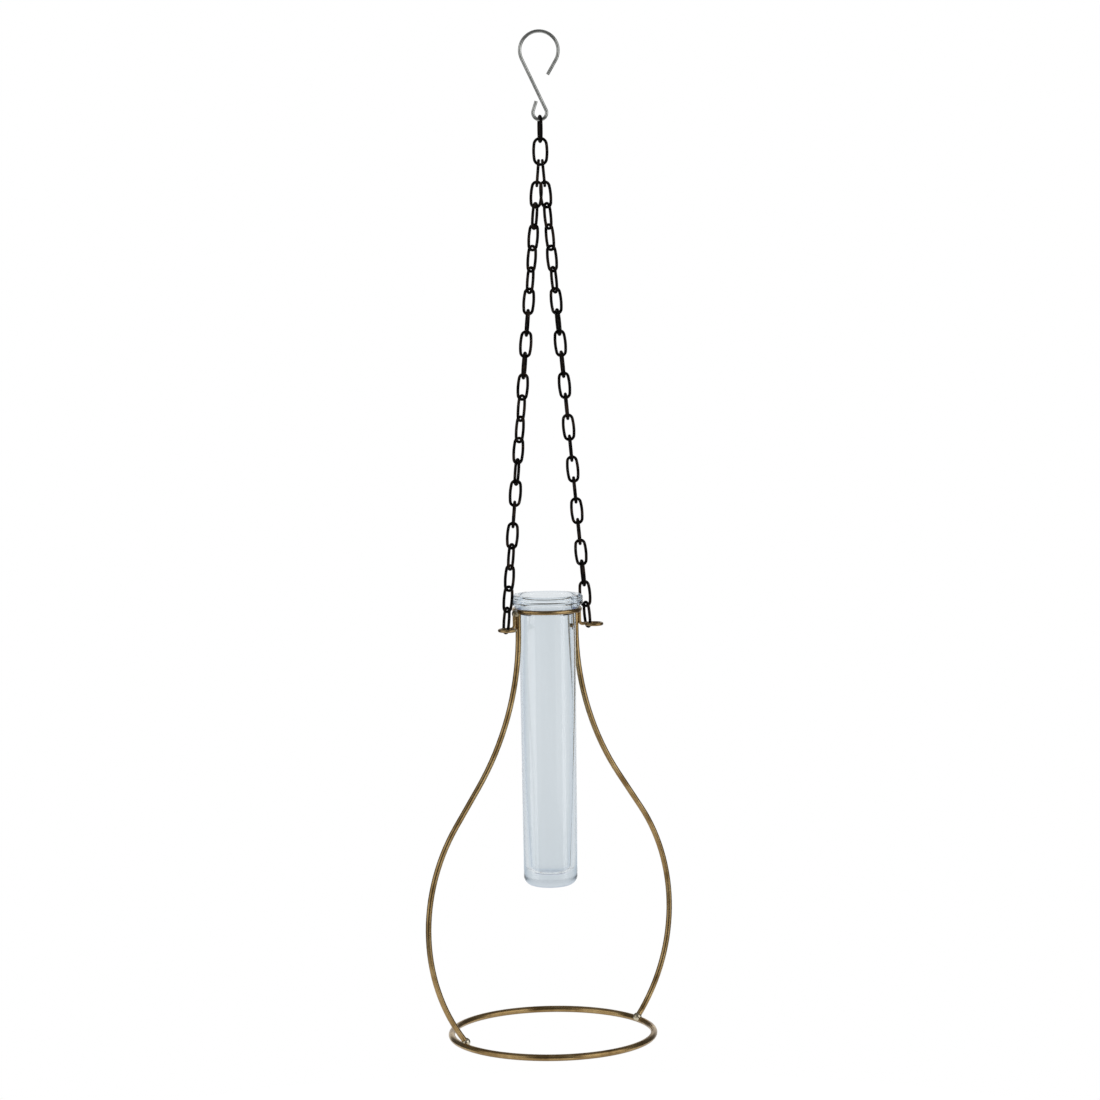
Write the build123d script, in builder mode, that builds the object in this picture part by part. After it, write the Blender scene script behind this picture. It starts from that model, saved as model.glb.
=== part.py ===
"""Hanging bud vase: a glass tube in a wire bottle frame, on a two-strand chain with an S-hook.

Millimetres.  The origin is where the hook's upper bow bears on the rail, +Z is up, and +X runs
through the two eyes that the chain's strands end in.  Everything hangs plumb below the origin.
"""
import os
from math import acos, atan2, cos, degrees, exp, radians, sin, sqrt

from build123d import *

# S-hook, bent from galvanised wire; its plane is turned about Z from the frame's plane
hook_wire = 1.5
hook_turn = -29.0
upper_bow = 8.65
lower_bow = 3.1
bow_spacing = 27.8
upper_bow_end = -30.0
upper_tip = 7.5
lower_bow_end = 162.0
lower_tip = 4.5

# chain links: four-arc ovals of round wire; the junction link hangs in the hook's plane
link_wire = 1.35
link_length = 12.75
link_width = 6.1
link_end = 2.1
junction_length = 13.1
junction_width = 7.4
junction_end = 2.8
top_turn = 75.0
junction_turn = hook_turn

# play between wires that hang in each other
pin_gap = 0.15
link_gap = 0.4
eye_gap = 0.12

# the two strands: links in each, spread where they share the junction link, and how many links
# the right strand takes to untwist below the junction link and to turn into line with its eye
links = 22
strand_side = 0.85
right_untwist = 4.0
eye_untwist = 2.0

# wire frame, heights above the centre-line of the base ring
base_ring = 46.75
base_wire = 3.0
upright_wire = 2.6
foot_inset = 1.37
foot_height = 1.6
belly_half_width = 63.5
belly_height = 53.5
shoulder_run = 20.2
neck_length = 9.4
collar_height = 197.0
collar_clearance = 1.0
collar_wire = 2.0
collar_seat = 0.5
ring_seam = 90.0

# eyes: a stem brazed to the neck, a lead that carries the chain, and a loop that closes it in
eye_below_collar = 7.8
eye_wire = 1.5
eye_bend = 1.6
eye_lead = 3.95
eye_loop = 3.6
eye_loop_turn = 300.0
hang_before_loop = 1.0
stem_below_collar = 0.3

# braze left at the joints
foot_bead = 2.0
collar_bead = 1.75
collar_bead_out = 1.3
collar_bead_below = 0.9

# glass tube, heights above its own bottom; it narrows a little downwards, and its wall is thin at
# mid-height and thick at neck and heel
tube_length = 134.4
tube_radius = 13.0
tube_taper = 0.65
tube_corner = 4.5
lip_overhang = 3.5
flare_rise = 3.6
lip_height = 3.9
lip_edge = 1.3
lip_wall = 3.95
neck_wall = 2.6
thin_wall = 1.4
thin_height = 80.0
heel_wall = 3.4
bore_corner = 3.5
floor_thickness = 6.0
funnel_depth = 9.0
funnel_curve = 11.0
seat_gap = 0.05

# radii from the glass outwards: the collar clears the tube, and the eyes stand off from the collar
lip_radius = tube_radius + lip_overhang
collar_ring = tube_radius + collar_clearance + collar_wire / 2
stem_x = collar_ring + (upright_wire + eye_wire) / 2
eye_loop_at = stem_x + eye_bend + eye_lead
hang_at = eye_loop_at - hang_before_loop

# heights in the shared frame, worked out from the hook downwards
upper_centre = hook_wire / 2 - upper_bow
lower_centre = upper_centre - bow_spacing
hook_floor = lower_centre - lower_bow
top_link_top = hook_floor + (hook_wire + link_wire) / 2 + pin_gap
top_link_floor = top_link_top - (link_length - link_wire)
junction_top = top_link_floor + link_wire + pin_gap
junction_floor = junction_top - (junction_length - link_wire)
ride = junction_end - link_wire - pin_gap
strand_top = junction_floor + junction_end - sqrt(ride**2 - strand_side**2)

# each strand is straight, from beside the middle of the junction link to its eye
pitch = link_length - 2 * link_wire - link_gap
strand_run = (links - 1) * pitch + link_length - link_wire


def level_dir(turn):
    """Level direction turned about Z from +X."""
    return Vector(cos(radians(turn)), sin(radians(turn)), 0)


junction_wire_dir = level_dir(junction_turn)


def strand_line(side):
    """Top of a strand and its unit direction downwards; side is -1 for left and 1 for right."""
    top = junction_wire_dir * (side * strand_side) + Vector(0, 0, strand_top)
    across = side * hang_at - top.X
    drop = sqrt(strand_run**2 - across**2 - top.Y**2)
    return top, Vector(across, -top.Y, -drop).normalized()


def link_centre(side, number):
    """Middle of one link of a strand, counted from the top."""
    top, down = strand_line(side)
    return top + down * ((link_length - link_wire) / 2 + (number - 1) * pitch)


def link_turn(side, number):
    """Angle of a link's plane about its strand: quarter turns from link to link, plus the strand's own twist.

    Both strands start square to the junction link and end square to their eyes.  The left one twists
    evenly all the way; the right one hangs in the junction link's plane between its two ends.
    """
    quarter = 90.0 if number % 2 == 0 else 0.0
    if side < 0:
        return quarter + (junction_turn + 270.0) * (links - number) / (links - 1)
    from_top = exp(-(number - 1) / right_untwist)
    from_eye = exp(-(links - number) / eye_untwist)
    return quarter + junction_turn + 90.0 * from_top - junction_turn * from_eye


strand_foot = link_centre(1, links) + strand_line(1)[1] * ((link_length - link_wire) / 2)
eye_level = strand_foot.Z + (link_wire + eye_wire) / 2 + eye_gap
collar_level = eye_level + eye_below_collar
base_level = collar_level - collar_height


def oval_path(length, width, end):
    """Centre-line of a link as four tangent arcs in the XZ plane, long way up."""
    half_long = (length - link_wire) / 2
    half_wide = (width - link_wire) / 2
    end_centre = half_long - end
    side_radius = (half_wide**2 + end_centre**2 - end**2) / (2 * (half_wide - end))
    side_half = degrees(acos((side_radius - half_wide) / (side_radius - end)))
    with BuildLine(Plane.XZ) as path:
        CenterArc((half_wide - side_radius, 0), side_radius, -side_half, 2 * side_half)
        CenterArc((0, end_centre), end, side_half, 180 - 2 * side_half)
        CenterArc((side_radius - half_wide, 0), side_radius, 180 - side_half, 2 * side_half)
        CenterArc((0, -end_centre), end, 180 + side_half, 180 - 2 * side_half)
    return path.line


def bent_wire(path, diameter):
    """Round wire of one diameter bent along a path."""
    with BuildPart() as wire:
        with BuildSketch(Plane(origin=path @ 0, z_dir=path % 0)):
            Circle(diameter / 2)
        sweep(path=path)
    return wire.part


def hang(shape, label, centre, up, turn):
    """Place a link with its long way along up and its plane turned about up, and export it."""
    across = level_dir(turn)
    across = across - up * across.dot(up)
    with BuildPart() as link:
        with Locations(Plane(origin=centre, x_dir=across, z_dir=up)):
            add(shape)
    keep(link.part, label)


def front_plane(height):
    """Upright plane through the axis, X to the right and Z up, measured from a height."""
    return Plane(origin=(0, 0, height), x_dir=(1, 0, 0), z_dir=(0, -1, 0))


def keep(shape, label):
    """Name a finished piece and write its file."""
    shape.label = label
    export_step(shape, "parts/" + label + ".step")


os.makedirs("parts", exist_ok=True)

# S-hook: both bows joined by their inner tangent, which is the straight shank
shank_slope = degrees(acos((upper_bow + lower_bow) / bow_spacing))
shank_at = 270 - shank_slope
plumb = Vector(0, 0, 1)
hook_dir = level_dir(hook_turn)
with BuildPart() as s_hook:
    with BuildLine(Plane(origin=(0, 0, 0), x_dir=hook_dir, z_dir=hook_dir.cross(plumb))) as hook_path:
        over = CenterArc((0, upper_centre), upper_bow, upper_bow_end, shank_at - upper_bow_end)
        under = CenterArc((0, lower_centre), lower_bow, shank_at - 180, lower_bow_end - shank_at - 180)
        Line(over @ 1, under @ 0)
        Line(over @ 0 - (over % 0) * upper_tip, over @ 0)
        Line(under @ 1, under @ 1 + (under % 1) * lower_tip)
    with BuildSketch(Plane(origin=hook_path.line @ 0, z_dir=hook_path.line % 0)):
        Circle(hook_wire / 2)
    sweep(path=hook_path.line)
keep(s_hook.part, "s_hook")

# the two shared links, then both strands
plain_link = bent_wire(oval_path(link_length, link_width, link_end), link_wire)
wide_link = bent_wire(oval_path(junction_length, junction_width, junction_end), link_wire)
hang(plain_link, "top_link", Vector(0, 0, (top_link_top + top_link_floor) / 2), plumb, top_turn)
hang(wide_link, "junction_link", Vector(0, 0, (junction_top + junction_floor) / 2), plumb, junction_turn)
for side_name, side in (("left", -1), ("right", 1)):
    for number in range(1, links + 1):
        hang(
            plain_link,
            f"{side_name}_link_{number:02d}",
            link_centre(side, number),
            -strand_line(side)[1],
            link_turn(side, number),
        )

# rings of the frame
with BuildPart(Location((0, 0, base_level))) as base:
    Torus(base_ring, base_wire / 2, rotation=(0, 0, ring_seam))
with BuildPart(Location((0, 0, collar_level))) as collar:
    Torus(collar_ring, collar_wire / 2, rotation=(0, 0, ring_seam))

# right upright: a belly arc from the foot, a straight shoulder, a hollow arc and a plumb neck.  Both arcs
# are sized so that the belly reaches its width and the shoulder is tangent to them; ends coped onto the rings
foot_x = base_ring - foot_inset
swell = belly_half_width - foot_x
belly_radius = (swell**2 + (belly_height - foot_height) ** 2) / (2 * swell)
belly_x = belly_half_width - belly_radius
neck_rise = collar_height - neck_length - belly_height
neck_in = collar_ring - belly_x
shoulder_gap = neck_in**2 + neck_rise**2 - belly_radius**2 - shoulder_run**2
shoulder_radius = shoulder_gap / (2 * (belly_half_width - collar_ring))
centres_rise = degrees(atan2(neck_rise, neck_in + shoulder_radius))
shoulder_slope = centres_rise - degrees(atan2(shoulder_run, belly_radius + shoulder_radius))
foot_angle = -degrees(atan2(belly_height - foot_height, foot_x - belly_x))
with BuildLine(front_plane(base_level)) as upright_path:
    belly = CenterArc((belly_x, belly_height), belly_radius, foot_angle, shoulder_slope - foot_angle)
    slope = Line(belly @ 1, belly @ 1 + (belly % 1) * shoulder_run)
    hollow = JernArc(slope @ 1, slope % 1, shoulder_radius, -shoulder_slope)
    Line(hollow @ 1, hollow @ 1 + (hollow % 1) * (neck_length - collar_seat))
upright_stock = bent_wire(upright_path.line, upright_wire)
with BuildPart() as right_upright:
    add(upright_stock)
    add(base.part, mode=Mode.SUBTRACT)
    add(collar.part, mode=Mode.SUBTRACT)
with BuildPart() as left_upright:
    mirror(right_upright.part, about=Plane.YZ)

# right eye: the lead lies on the hinge line at eye level, its loop turns round to the front
stem_top = collar_level - collar_wire / 2 - stem_below_collar
with BuildPart() as right_eye:
    with BuildLine(Plane.XZ) as lead_path:
        stem = Line((stem_x, stem_top), (stem_x, eye_level + eye_bend))
        bend = JernArc(stem @ 1, stem % 1, eye_bend, 90)
        Line(bend @ 1, (eye_loop_at, eye_level))
    with BuildSketch(Plane(origin=stem @ 0, z_dir=stem % 0)):
        Circle(eye_wire / 2)
    sweep(path=lead_path.line)
    with BuildLine(Plane.XY.offset(eye_level)) as loop_path:
        loop = CenterArc((eye_loop_at, -eye_loop), eye_loop, 90, -eye_loop_turn)
    with BuildSketch(Plane(origin=loop @ 0, z_dir=loop % 0)):
        Circle(eye_wire / 2)
    sweep(path=loop_path.line)
with BuildPart() as left_eye:
    mirror(right_eye.part, about=Plane.YZ)

# braze beads on the right, hollowed by the wires that they join
foot_at = upright_path.line @ 0
with BuildPart() as right_foot_braze:
    with Locations(foot_at):
        Sphere(foot_bead, rotation=(0, ring_seam, 0))
    add(base.part, mode=Mode.SUBTRACT)
    add(upright_stock, mode=Mode.SUBTRACT)
with BuildPart() as right_collar_braze:
    with Locations((collar_ring + collar_bead_out, 0, collar_level - collar_bead_below)):
        Sphere(collar_bead, rotation=(0, ring_seam, 0))
    add(collar.part, mode=Mode.SUBTRACT)
    add(upright_stock, mode=Mode.SUBTRACT)
    add(right_eye.part, mode=Mode.SUBTRACT)
with BuildPart() as left_foot_braze:
    mirror(right_foot_braze.part, about=Plane.YZ)
with BuildPart() as left_collar_braze:
    mirror(right_collar_braze.part, about=Plane.YZ)

# glass tube: the flare's cone rests on the inside of the collar, and its place follows from that
flare_slant = sqrt((lip_radius - tube_radius) ** 2 + flare_rise**2)
seat_rise = (collar_ring - tube_radius) * flare_rise / (lip_radius - tube_radius)
seat_reach = (collar_wire / 2 + seat_gap) * flare_slant / (lip_radius - tube_radius)
lip_start = tube_length - lip_height
flare_start = lip_start - flare_rise
bore_start = tube_length - funnel_depth
mouth_radius = lip_radius - lip_wall
bore_top = tube_radius - neck_wall
heel_radius = tube_radius - tube_taper
bore_bottom = heel_radius - heel_wall
thin_share = (flare_start - thin_height) / (flare_start - tube_corner)
bore_thin = tube_radius - tube_taper * thin_share - thin_wall
heel_top = floor_thickness + bore_corner
tube_level = collar_level - seat_rise + seat_reach - flare_start
with BuildPart() as glass_tube:
    with BuildSketch(front_plane(tube_level)):
        with BuildLine():
            Line((0, 0), (heel_radius - tube_corner, 0))
            JernArc((heel_radius - tube_corner, 0), (1, 0), tube_corner, 90)
            Line((heel_radius, tube_corner), (tube_radius, flare_start))
            Line((tube_radius, flare_start), (lip_radius, lip_start))
            Line((lip_radius, lip_start), (lip_radius, tube_length - lip_edge))
            JernArc((lip_radius, tube_length - lip_edge), (0, 1), lip_edge, 90)
            Line((lip_radius - lip_edge, tube_length), (mouth_radius + lip_edge, tube_length))
            JernArc((mouth_radius + lip_edge, tube_length), (-1, 0), lip_edge, 90)
            RadiusArc((mouth_radius, tube_length - lip_edge), (bore_top, bore_start), funnel_curve)
            ThreePointArc((bore_top, bore_start), (bore_thin, thin_height), (bore_bottom, heel_top))
            RadiusArc((bore_bottom, heel_top), (bore_bottom - bore_corner, floor_thickness), bore_corner)
            Line((bore_bottom - bore_corner, floor_thickness), (0, floor_thickness))
            Line((0, floor_thickness), (0, 0))
        make_face()
    revolve(axis=Axis.Z)

keep(base.part, "base_ring")
keep(collar.part, "collar_ring")
keep(right_upright.part, "right_upright")
keep(left_upright.part, "left_upright")
keep(right_eye.part, "right_eye")
keep(left_eye.part, "left_eye")
keep(right_foot_braze.part, "right_foot_braze")
keep(left_foot_braze.part, "left_foot_braze")
keep(right_collar_braze.part, "right_collar_braze")
keep(left_collar_braze.part, "left_collar_braze")
keep(glass_tube.part, "glass_tube")
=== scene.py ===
"""Looks of the hanging bud vase: finishes, a turned glass tube and a plain studio.

Metres, in the frame of the CAD model: +Z up, +X through the two eyes, origin at the hook's bearing point.
"""
from math import asin, atan2, cos, pi, radians, sin, sqrt

import bmesh
import bpy
from mathutils import Matrix, Vector


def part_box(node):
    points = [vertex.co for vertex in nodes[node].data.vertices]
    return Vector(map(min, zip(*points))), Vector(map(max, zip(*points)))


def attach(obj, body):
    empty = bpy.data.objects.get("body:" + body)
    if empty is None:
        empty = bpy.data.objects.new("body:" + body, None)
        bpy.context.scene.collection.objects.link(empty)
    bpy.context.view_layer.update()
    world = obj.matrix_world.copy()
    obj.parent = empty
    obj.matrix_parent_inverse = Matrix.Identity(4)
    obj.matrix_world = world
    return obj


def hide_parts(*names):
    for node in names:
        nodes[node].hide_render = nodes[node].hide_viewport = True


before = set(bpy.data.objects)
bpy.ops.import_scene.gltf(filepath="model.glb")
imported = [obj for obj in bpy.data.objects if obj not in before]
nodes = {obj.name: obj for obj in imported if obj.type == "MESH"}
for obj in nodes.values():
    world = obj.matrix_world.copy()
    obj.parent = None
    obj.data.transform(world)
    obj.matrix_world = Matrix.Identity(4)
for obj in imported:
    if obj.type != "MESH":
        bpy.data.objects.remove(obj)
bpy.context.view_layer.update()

UP = Vector((0, 0, 1))
WHITE = (1.0, 1.0, 1.0, 1.0)
MM = 0.001

# camera of the photograph: a square picture, its focal length in pixels, and where it stands
PICTURE_PX = 1100
FOCAL_PX = 3245
SENSOR_MM = 36.0
CAMERA_DISTANCE = 1.480
CAMERA_PITCH = radians(5.38)
CAMERA_TURN = radians(29.07)
CAMERA_ROLL = radians(-0.82)
AIM_ABOVE_BASE = 0.2242
AIM_RIGHT = 0.0018

# studio: a small floor below the vase, two tall soft lamps in front of it, two for gleams on the glass,
# and the room around
FLOOR_DROP = 0.16
FLOOR_RADIUS = 0.55
FLOOR_SIDES = 96
FLOOR_COLOUR = (0.88, 0.88, 0.88, 1.0)
FLOOR_ROUGHNESS = 0.9
FLOOR_GLOW = 0.5
LAMP_DISTANCE = 1.6
LAMP_WIDTH = 1.7
LAMP_HEIGHT = 1.6
LAMP_ASIDE = radians(58)
LAMP_ABOVE = radians(10)
LEFT_RADIANCE = 0.9
RIGHT_RADIANCE = 1.3
GLEAM_DISTANCE = 1.4
GLEAM_RADIANCE = 3.5
LEFT_GLEAM_ASIDE = radians(70)
LEFT_GLEAM_WIDTH = 0.90
RIGHT_GLEAM_ASIDE = radians(66)
RIGHT_GLEAM_WIDTH = 0.44
ROOM_LIT = 0.5
ROOM_GLOSS = 0.10
CEILING_GLOSS = 0.22
CEILING_STARTS = 0.30
CEILING_FULL = 0.80
BACKDROP_STARTS = -0.84
BACKDROP_FULL = -0.92
SKY_THROUGH_GLASS = (0.30, 0.34, 0.52, 1.0)
SKY_STARTS = 0.20
SKY_FULL = 0.55
ASIDE_THROUGH_GLASS = (0.85, 0.89, 0.925, 1.0)
ASIDE_STARTS = -0.95
ASIDE_FULL = -0.75

# shape of the glass tube, as in the solid, with the lip's two fine grooves
TUBE_RADIUS = 13.0 * MM
TUBE_TAPER = 0.65 * MM
TUBE_CORNER = 4.5 * MM
FLARE_RISE = 3.6 * MM
LIP_HEIGHT = 3.9 * MM
LIP_EDGE = 1.3 * MM
LIP_WALL = 3.95 * MM
NECK_WALL = 2.6 * MM
THIN_WALL = 1.4 * MM
THIN_HEIGHT = 80.0 * MM
HEEL_WALL = 3.4 * MM
BORE_CORNER = 3.5 * MM
FLOOR_THICKNESS = 6.0 * MM
FUNNEL_DEPTH = 9.0 * MM
FUNNEL_CURVE = 11.0 * MM
LIP_GROOVES = (0.7 * MM, 1.8 * MM)
GROOVE_HALF = 0.3 * MM
GROOVE_DEPTH = 0.2 * MM
TUBE_SIDES = 240
ARC_STEPS = 16
MERGE_DISTANCE = 0.001 * MM
CREASE = radians(20)

# the look of the glass: its two streaked tints, the streaks themselves and the waves in its surface
GLASS_IOR = 1.3
GLASS_TINT = (0.80, 0.83, 0.85, 1.0)
STREAK_TINT = (0.83, 0.86, 0.88, 1.0)
STREAK_SCALE = 260.0
STREAK_DETAIL = 2.0
STREAK_STRETCH = (1.0, 1.0, 0.06)
WAVE_STRENGTH = 0.006
WAVE_RELIEF = 0.2 * MM
GLASS_BODY = (0.08, 0.26, 0.39, 1.0)
GLASS_DENSITY = 14.0
# painted shade: a darker blue mixed into the glass where its surface is seen edge-on, and where that begins
# and is full
PAINTED_EDGE_SHADE = (0.60, 0.68, 0.77, 1.0)
EDGE_SHADE_BLEND = 0.5
EDGE_SHADE_STARTS = 0.42
EDGE_SHADE_FULL = 0.85
GLASS_ROUGHNESS = 0.02
FOOT_ROUGHNESS = 0.20
FOOT_CLOUDED = 4.0 * MM
FOOT_CLEAR = 9.0 * MM

# the look of the wires: cloudy patches in three tones, a fine speckle, and painted shade that darkens their
# undersides
PATCH_SCALE = 60.0
PATCH_DETAIL = 4.0
SPECKLE_SCALE = 2400.0
SPECKLE_DETAIL = 2.0
CLOUD_ROUGHNESS = 0.6
# painted shade on the wires' undersides: the upward normal at which it starts and at which it is full
PAINTED_SHADE_STARTS = -0.1
PAINTED_SHADE_FULL = -0.8
DARK_UP_TO = 0.32
MIDDLE_AT = 0.5
BRIGHT_FROM = 0.68
GRAIN_RELIEF = 0.05 * MM

# sockets of a colour Mix node, which share their names with its other kinds
MIX_FACTOR = 0
MIX_FIRST = 6
MIX_SECOND = 7
MIX_RESULT = 2


def add_node(tree, kind, **values):
    """Shader node with its settings; a key with a capital letter sets an input of that name."""
    node = tree.nodes.new(kind)
    for key, value in values.items():
        if key[0].isupper():
            node.inputs[key.replace("_", " ")].default_value = value
        else:
            setattr(node, key, value)
    return node


def empty_group(name, inputs, outputs):
    """Shader group with named number sockets, and its two end nodes."""
    group = bpy.data.node_groups.new(name, "ShaderNodeTree")
    for socket, value in inputs.items():
        made = group.interface.new_socket(socket, in_out="INPUT", socket_type="NodeSocketFloat")
        made.default_value = value
    for socket in outputs:
        group.interface.new_socket(socket, in_out="OUTPUT", socket_type="NodeSocketFloat")
    return group, group.nodes.new("NodeGroupInput"), group.nodes.new("NodeGroupOutput")


def tarnish_and_painted_shade_group():
    """Cloudy patches, fine speckle and how far the surface faces down, the mask of the painted shade on
    undersides, shared by all the wires.
    """
    group, start, end = empty_group(
        "wire_tarnish_and_painted_shade",
        {"Patch Scale": PATCH_SCALE, "Speckle Scale": SPECKLE_SCALE},
        ("Patch", "Speckle", "Painted Underside Shade"),
    )
    link = group.links.new
    place = add_node(group, "ShaderNodeTexCoord")
    for scale, out, detail in (
        ("Patch Scale", "Patch", PATCH_DETAIL),
        ("Speckle Scale", "Speckle", SPECKLE_DETAIL),
    ):
        noise = add_node(group, "ShaderNodeTexNoise", Detail=detail, Roughness=CLOUD_ROUGHNESS)
        link(place.outputs["Object"], noise.inputs["Vector"])
        link(start.outputs[scale], noise.inputs["Scale"])
        link(noise.outputs["Fac"], end.inputs[out])
    # painted shade mask: the more the surface faces down, the darker its colour is painted
    facing = add_node(group, "ShaderNodeSeparateXYZ")
    painted_shade_amount = add_node(group, "ShaderNodeMapRange", From_Min=PAINTED_SHADE_STARTS, From_Max=PAINTED_SHADE_FULL)
    link(place.outputs["Normal"], facing.inputs["Vector"])
    link(facing.outputs["Z"], painted_shade_amount.inputs["Value"])
    link(painted_shade_amount.outputs["Result"], end.inputs["Painted Underside Shade"])
    return group


def wire_metal(name, tarnish_and_painted_shade, dark, middle, bright, roughness, patch_scale, grain, metallic=1.0, gloss=0.5):
    """Drawn wire: three tones by patch, painted shade that darkens the undersides to the dark tone, rougher
    where it is dark, and a fine grain.
    """
    made = bpy.data.materials.new(name)
    made.use_nodes = True
    tree = made.node_tree
    link = tree.links.new
    shader = tree.nodes["Principled BSDF"]
    shader.inputs["Metallic"].default_value = metallic
    shader.inputs["Specular IOR Level"].default_value = gloss
    cloud = add_node(tree, "ShaderNodeGroup", node_tree=tarnish_and_painted_shade)
    cloud.inputs["Patch Scale"].default_value = patch_scale
    tones = add_node(tree, "ShaderNodeValToRGB")
    ramp = tones.color_ramp
    ramp.elements[0].position = DARK_UP_TO
    ramp.elements[0].color = (*dark, 1.0)
    ramp.elements[1].position = BRIGHT_FROM
    ramp.elements[1].color = (*bright, 1.0)
    ramp.elements.new(MIDDLE_AT).color = (*middle, 1.0)
    # painted shade: surfaces that face down are mixed towards the dark tone
    shade = add_node(tree, "ShaderNodeMix", data_type="RGBA")
    shade.inputs[MIX_SECOND].default_value = (*dark, 1.0)
    link(cloud.outputs["Patch"], tones.inputs["Fac"])
    link(cloud.outputs["Painted Underside Shade"], shade.inputs[MIX_FACTOR])
    link(tones.outputs["Color"], shade.inputs[MIX_FIRST])
    link(shade.outputs[MIX_RESULT], shader.inputs["Base Color"])
    rough = add_node(tree, "ShaderNodeMapRange", To_Min=roughness[1], To_Max=roughness[0])
    link(cloud.outputs["Patch"], rough.inputs["Value"])
    link(rough.outputs["Result"], shader.inputs["Roughness"])
    bump = add_node(tree, "ShaderNodeBump", Strength=grain, Distance=GRAIN_RELIEF)
    link(cloud.outputs["Speckle"], bump.inputs["Height"])
    link(bump.outputs["Normal"], shader.inputs["Normal"])
    return made


def blown_glass(bottom):
    """Faintly blue glass with painted darker blue shade where its surface is seen edge-on, soft upright
    streaks and a slightly clouded foot.
    """
    made = bpy.data.materials.new("clear_glass")
    made.use_nodes = True
    tree = made.node_tree
    link = tree.links.new
    shader = tree.nodes["Principled BSDF"]
    shader.inputs["IOR"].default_value = GLASS_IOR
    shader.inputs["Transmission Weight"].default_value = 1.0
    place = add_node(tree, "ShaderNodeTexCoord")
    stretch = add_node(tree, "ShaderNodeMapping", Scale=STREAK_STRETCH)
    streaks = add_node(tree, "ShaderNodeTexNoise", Scale=STREAK_SCALE, Detail=STREAK_DETAIL)
    tint = add_node(tree, "ShaderNodeMix", data_type="RGBA")
    tint.inputs[MIX_FIRST].default_value = GLASS_TINT
    tint.inputs[MIX_SECOND].default_value = STREAK_TINT
    link(place.outputs["Object"], stretch.inputs["Vector"])
    link(stretch.outputs["Vector"], streaks.inputs["Vector"])
    link(streaks.outputs["Fac"], tint.inputs[MIX_FACTOR])
    # painted shade: the tint turns darker and bluer where the surface is seen edge-on
    slant = add_node(tree, "ShaderNodeLayerWeight", Blend=EDGE_SHADE_BLEND)
    grazing = add_node(tree, "ShaderNodeMapRange", From_Min=EDGE_SHADE_STARTS, From_Max=EDGE_SHADE_FULL)
    painted_edge_shade = add_node(tree, "ShaderNodeMix", data_type="RGBA")
    painted_edge_shade.inputs[MIX_SECOND].default_value = PAINTED_EDGE_SHADE
    link(slant.outputs["Facing"], grazing.inputs["Value"])
    link(grazing.outputs["Result"], painted_edge_shade.inputs[MIX_FACTOR])
    link(tint.outputs[MIX_RESULT], painted_edge_shade.inputs[MIX_FIRST])
    link(painted_edge_shade.outputs[MIX_RESULT], shader.inputs["Base Color"])
    heights = add_node(tree, "ShaderNodeSeparateXYZ")
    foot = add_node(
        tree, "ShaderNodeMapRange", From_Min=bottom + FOOT_CLOUDED, From_Max=bottom + FOOT_CLEAR,
        To_Min=FOOT_ROUGHNESS, To_Max=GLASS_ROUGHNESS,
    )
    link(place.outputs["Object"], heights.inputs["Vector"])
    link(heights.outputs["Z"], foot.inputs["Value"])
    link(foot.outputs["Result"], shader.inputs["Roughness"])
    uneven = add_node(tree, "ShaderNodeBump", Strength=WAVE_STRENGTH, Distance=WAVE_RELIEF)
    link(streaks.outputs["Fac"], uneven.inputs["Height"])
    link(uneven.outputs["Normal"], shader.inputs["Normal"])
    body = add_node(tree, "ShaderNodeVolumeAbsorption", Color=GLASS_BODY, Density=GLASS_DENSITY)
    link(body.outputs["Volume"], tree.nodes["Material Output"].inputs["Volume"])
    return made


def finish_nodes(names, material):
    """Give one material to several CAD nodes."""
    for name in names:
        nodes[name].data.materials.clear()
        nodes[name].data.materials.append(material)


def bow(start, end, radius, side):
    """Points of an arc from start to end, bulging to the right of the way there, or left if side is -1."""
    across = Vector(end) - Vector(start)
    half = across.length / 2
    out = Vector((across.y, -across.x)).normalized() * side
    centre = Vector(start) + across / 2 - out * sqrt(radius**2 - half**2)
    half_angle = asin(half / radius)
    middle = atan2(out.y, out.x)
    angles = [middle + side * half_angle * (2 * step / ARC_STEPS - 1) for step in range(ARC_STEPS + 1)]
    return [(centre.x + radius * cos(angle), centre.y + radius * sin(angle)) for angle in angles]


def radius_through(first, second, third):
    """Radius of the circle through three points."""
    a, b, c = Vector(first), Vector(second), Vector(third)
    twice_area = abs((b - a).cross(c - a))
    return (b - a).length * (c - b).length * (a - c).length / (2 * twice_area)


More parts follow.
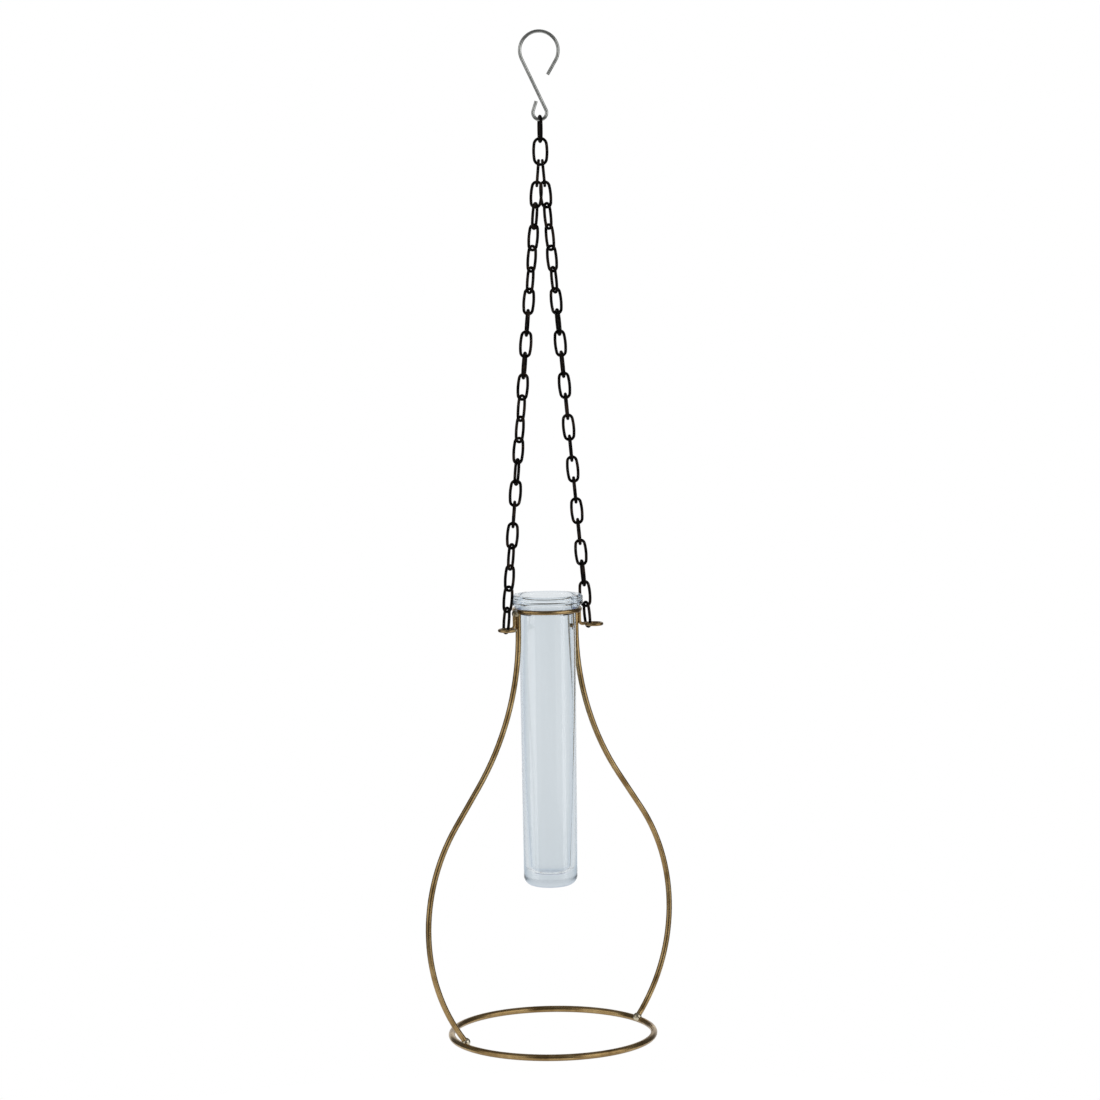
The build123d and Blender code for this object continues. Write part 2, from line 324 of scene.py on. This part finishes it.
def tube_outline(bottom, top):
    """Radius and height along the tube: underside, outside, lip, funnel, bore and the floor of the bore."""
    lip_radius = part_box("glass_tube")[1].x
    mouth_radius = lip_radius - LIP_WALL
    heel_radius = TUBE_RADIUS - TUBE_TAPER
    lip_start = top - LIP_HEIGHT
    flare_start = lip_start - FLARE_RISE
    thin_share = (flare_start - bottom - THIN_HEIGHT) / (flare_start - bottom - TUBE_CORNER)
    neck = (TUBE_RADIUS - NECK_WALL, top - FUNNEL_DEPTH)
    thin = (TUBE_RADIUS - TUBE_TAPER * thin_share - THIN_WALL, bottom + THIN_HEIGHT)
    heel = (heel_radius - HEEL_WALL, bottom + FLOOR_THICKNESS + BORE_CORNER)
    bore_floor = (heel[0] - BORE_CORNER, bottom + FLOOR_THICKNESS)
    outline = [(0.0, bottom)]
    outline += bow((heel_radius - TUBE_CORNER, bottom), (heel_radius, bottom + TUBE_CORNER), TUBE_CORNER, 1)
    outline += [(TUBE_RADIUS, flare_start), (lip_radius, lip_start)]
    for groove in LIP_GROOVES:
        middle = lip_start + groove
        outline += [(lip_radius, middle - GROOVE_HALF), (lip_radius - GROOVE_DEPTH, middle)]
        outline += [(lip_radius, middle + GROOVE_HALF)]
    outline += bow((lip_radius, top - LIP_EDGE), (lip_radius - LIP_EDGE, top), LIP_EDGE, 1)
    outline += bow((mouth_radius + LIP_EDGE, top), (mouth_radius, top - LIP_EDGE), LIP_EDGE, 1)
    outline += bow((mouth_radius, top - LIP_EDGE), neck, FUNNEL_CURVE, -1)
    outline += bow(neck, heel, radius_through(neck, thin, heel), -1)
    outline += bow(heel, bore_floor, BORE_CORNER, -1)
    outline += [(0.0, bottom + FLOOR_THICKNESS)]
    return outline


def mesh_object(name, work):
    """Object from a bmesh, which is freed."""
    mesh = bpy.data.meshes.new(name)
    work.to_mesh(mesh)
    work.free()
    made = bpy.data.objects.new(name, mesh)
    bpy.context.scene.collection.objects.link(made)
    return made


def turned(name, outline, sides):
    """Piece turned about the Z axis from an outline that starts and ends on it."""
    work = bmesh.new()
    points = [work.verts.new((radius, 0, height)) for radius, height in outline]
    edges = [work.edges.new(pair) for pair in zip(points, points[1:])]
    bmesh.ops.spin(
        work, geom=points + edges, cent=(0, 0, 0), axis=UP, angle=2 * pi, steps=sides, use_merge=True
    )
    bmesh.ops.remove_doubles(work, verts=work.verts, dist=MERGE_DISTANCE)
    bmesh.ops.recalc_face_normals(work, faces=work.faces)
    made = mesh_object(name, work)
    made.data.shade_smooth()
    made.data.set_sharp_from_angle(angle=CREASE)
    return made


# finishes of the CAD nodes
tarnish_and_painted_shade = tarnish_and_painted_shade_group()
antique_brass = wire_metal(
    "antique_brass", tarnish_and_painted_shade,
    dark=(0.20, 0.125, 0.05), middle=(0.37, 0.25, 0.11), bright=(0.50, 0.36, 0.175),
    roughness=(0.20, 0.34), patch_scale=90.0, grain=0.02,
)
silvery_braze = wire_metal(
    "braze", tarnish_and_painted_shade,
    dark=(0.40, 0.34, 0.22), middle=(0.55, 0.49, 0.36), bright=(0.70, 0.66, 0.54),
    roughness=(0.25, 0.40), patch_scale=200.0, grain=0.10,
)
black_chain = wire_metal(
    "black_chain", tarnish_and_painted_shade,
    dark=(0.002, 0.0016, 0.0014), middle=(0.004, 0.003, 0.0025), bright=(0.030, 0.019, 0.013),
    roughness=(0.34, 0.50), patch_scale=260.0, grain=0.15, metallic=0.0, gloss=0.05,
)
dull_zinc = wire_metal(
    "galvanised_wire", tarnish_and_painted_shade,
    dark=(0.33, 0.34, 0.325), middle=(0.47, 0.48, 0.46), bright=(0.60, 0.61, 0.59),
    roughness=(0.22, 0.36), patch_scale=240.0, grain=0.12,
)
finish_nodes([name for name in nodes if "_link" in name], black_chain)
finish_nodes(["s_hook"], dull_zinc)
finish_nodes(
    ["base_ring", "collar_ring", "left_upright", "right_upright", "left_eye", "right_eye"], antique_brass
)
finish_nodes([name for name in nodes if name.endswith("braze")], silvery_braze)

# glass tube, turned smooth in place of the CAD node
tube_low, tube_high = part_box("glass_tube")
glass = turned("glass_tube_blown", tube_outline(tube_low.z, tube_high.z), TUBE_SIDES)
glass.data.materials.append(blown_glass(tube_low.z))
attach(glass, "tube")
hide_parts("glass_tube")

# directions of the photograph: to its right, away from the camera, and the point that it looks at
right = Vector((cos(CAMERA_TURN), -sin(CAMERA_TURN), 0))
ahead = Vector((sin(CAMERA_TURN), cos(CAMERA_TURN), 0))
base_low, base_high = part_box("base_ring")
aim = UP * ((base_low.z + base_high.z) / 2 + AIM_ABOVE_BASE)
look = ahead * cos(CAMERA_PITCH) - UP * sin(CAMERA_PITCH)
picture_up = ahead * sin(CAMERA_PITCH) + UP * cos(CAMERA_PITCH)


def studio_room():
    """World: white to the camera, nearly so through glass, and dim in reflections except for the backdrop."""
    world = bpy.data.worlds.new("studio")
    bpy.context.scene.world = world
    world.use_nodes = True
    tree = world.node_tree
    tree.nodes.clear()
    link = tree.links.new
    way = add_node(tree, "ShaderNodeTexCoord")
    path = add_node(tree, "ShaderNodeLightPath")
    end = add_node(tree, "ShaderNodeOutputWorld")

    # reflections: the backdrop lies behind the vase, as the camera sees it, under a dim ceiling
    along = add_node(tree, "ShaderNodeVectorMath", operation="DOT_PRODUCT")
    along.inputs[1].default_value = -look
    backdrop = add_node(
        tree, "ShaderNodeMapRange", From_Min=BACKDROP_STARTS, From_Max=BACKDROP_FULL, To_Min=ROOM_GLOSS
    )
    link(way.outputs["Generated"], along.inputs[0])
    link(along.outputs["Value"], backdrop.inputs["Value"])
    parts = add_node(tree, "ShaderNodeSeparateXYZ")
    link(way.outputs["Generated"], parts.inputs["Vector"])
    ceiling = add_node(
        tree, "ShaderNodeMapRange", From_Min=CEILING_STARTS, From_Max=CEILING_FULL, To_Max=CEILING_GLOSS
    )
    mirrored = add_node(tree, "ShaderNodeMath", operation="MAXIMUM")
    link(parts.outputs["Z"], ceiling.inputs["Value"])
    link(backdrop.outputs["Result"], mirrored.inputs[0])
    link(ceiling.outputs["Result"], mirrored.inputs[1])

    # through the glass: white straight ahead, pale blue to the sides, grey-blue overhead
    aside = add_node(tree, "ShaderNodeMapRange", From_Min=ASIDE_STARTS, From_Max=ASIDE_FULL)
    level = add_node(tree, "ShaderNodeMix", data_type="RGBA")
    level.inputs[MIX_FIRST].default_value = WHITE
    level.inputs[MIX_SECOND].default_value = ASIDE_THROUGH_GLASS
    link(along.outputs["Value"], aside.inputs["Value"])
    link(aside.outputs["Result"], level.inputs[MIX_FACTOR])
    overhead = add_node(tree, "ShaderNodeMapRange", From_Min=SKY_STARTS, From_Max=SKY_FULL)
    sky = add_node(tree, "ShaderNodeMix", data_type="RGBA")
    sky.inputs[MIX_SECOND].default_value = SKY_THROUGH_GLASS
    link(level.outputs[MIX_RESULT], sky.inputs[MIX_FIRST])
    link(parts.outputs["Z"], overhead.inputs["Value"])
    link(overhead.outputs["Result"], sky.inputs[MIX_FACTOR])

    lit = add_node(tree, "ShaderNodeBackground", Color=WHITE, Strength=ROOM_LIT)
    reflected = add_node(tree, "ShaderNodeBackground", Color=WHITE)
    link(mirrored.outputs[0], reflected.inputs["Strength"])
    refracted = add_node(tree, "ShaderNodeBackground", Strength=1.0)
    link(sky.outputs[MIX_RESULT], refracted.inputs["Color"])
    seen = add_node(tree, "ShaderNodeBackground", Color=WHITE, Strength=1.0)
    shown = lit
    for ray, background in (
        ("Is Glossy Ray", reflected),
        ("Is Transmission Ray", refracted),
        ("Is Camera Ray", seen),
    ):
        choose = add_node(tree, "ShaderNodeMixShader")
        link(path.outputs[ray], choose.inputs["Fac"])
        link(shown.outputs[0], choose.inputs[1])
        link(background.outputs[0], choose.inputs[2])
        shown = choose
    link(shown.outputs[0], end.inputs["Surface"])


def pale_floor():
    """Round floor: white in reflections and glass, and lit with a little glow of its own elsewhere."""
    work = bmesh.new()
    bmesh.ops.create_circle(work, cap_ends=True, segments=FLOOR_SIDES, radius=FLOOR_RADIUS)
    bmesh.ops.translate(work, verts=work.verts, vec=UP * (base_low.z - FLOOR_DROP))
    floor = mesh_object("floor", work)
    made = bpy.data.materials.new("pale_floor")
    made.use_nodes = True
    tree = made.node_tree
    link = tree.links.new
    shader = tree.nodes["Principled BSDF"]
    shader.inputs["Base Color"].default_value = FLOOR_COLOUR
    shader.inputs["Roughness"].default_value = FLOOR_ROUGHNESS
    shader.inputs["Emission Color"].default_value = WHITE
    path = add_node(tree, "ShaderNodeLightPath")
    glow = add_node(tree, "ShaderNodeMath", operation="MULTIPLY")
    glow.inputs[1].default_value = FLOOR_GLOW
    link(path.outputs["Is Camera Ray"], glow.inputs[0])
    link(glow.outputs[0], shader.inputs["Emission Strength"])
    bent = add_node(tree, "ShaderNodeMath", operation="MAXIMUM")
    link(path.outputs["Is Glossy Ray"], bent.inputs[0])
    link(path.outputs["Is Transmission Ray"], bent.inputs[1])
    white = add_node(tree, "ShaderNodeEmission", Color=WHITE, Strength=1.0)
    choose = add_node(tree, "ShaderNodeMixShader")
    link(bent.outputs[0], choose.inputs["Fac"])
    link(shader.outputs[0], choose.inputs[1])
    link(white.outputs[0], choose.inputs[2])
    link(choose.outputs[0], tree.nodes["Material Output"].inputs["Surface"])
    floor.data.materials.append(made)


def soft_lamp(name, side, aside, above, distance, width, radiance):
    """Tall soft lamp in front of the vase, to one side, facing it; it doesn't show through the glass."""
    lamp = bpy.data.lights.new(name, "AREA")
    lamp.shape = "RECTANGLE"
    lamp.size = width
    lamp.size_y = LAMP_HEIGHT
    lamp.energy = radiance * pi * width * LAMP_HEIGHT
    level = right * (side * sin(aside)) - ahead * cos(aside)
    away = level * cos(above) + UP * sin(above)
    held = bpy.data.objects.new(name, lamp)
    held.location = aim + away * distance
    held.rotation_euler = (-away).to_track_quat("-Z", "Y").to_euler()
    held.visible_transmission = False
    bpy.context.scene.collection.objects.link(held)
    return held


def glass_gleam(name, side, aside, width):
    """Level lamp that lights the glass alone, for a soft upright gleam on it."""
    held = soft_lamp(name, side, aside, 0.0, GLEAM_DISTANCE, width, GLEAM_RADIANCE)
    lit = bpy.data.collections.new(name)
    lit.objects.link(glass)
    held.light_linking.receiver_collection = lit


def photo_camera():
    """Camera at the photograph's place, with its slight roll."""
    rolled_right = right * cos(CAMERA_ROLL) + picture_up * sin(CAMERA_ROLL)
    rolled_up = picture_up * cos(CAMERA_ROLL) - right * sin(CAMERA_ROLL)
    lens = bpy.data.cameras.new("camera")
    lens.sensor_width = SENSOR_MM
    lens.lens = SENSOR_MM * FOCAL_PX / PICTURE_PX
    camera = bpy.data.objects.new("camera", lens)
    turn = Matrix((rolled_right, rolled_up, -look)).transposed().to_4x4()
    camera.matrix_world = Matrix.Translation(aim + right * AIM_RIGHT - look * CAMERA_DISTANCE) @ turn
    bpy.context.scene.collection.objects.link(camera)
    bpy.context.scene.camera = camera


studio_room()
pale_floor()
soft_lamp("left_lamp", -1, LAMP_ASIDE, LAMP_ABOVE, LAMP_DISTANCE, LAMP_WIDTH, LEFT_RADIANCE)
soft_lamp("right_lamp", 1, LAMP_ASIDE, LAMP_ABOVE, LAMP_DISTANCE, LAMP_WIDTH, RIGHT_RADIANCE)
glass_gleam("left_gleam", -1, LEFT_GLEAM_ASIDE, LEFT_GLEAM_WIDTH)
glass_gleam("right_gleam", 1, RIGHT_GLEAM_ASIDE, RIGHT_GLEAM_WIDTH)
photo_camera()
bpy.context.scene.view_settings.view_transform = "Standard"
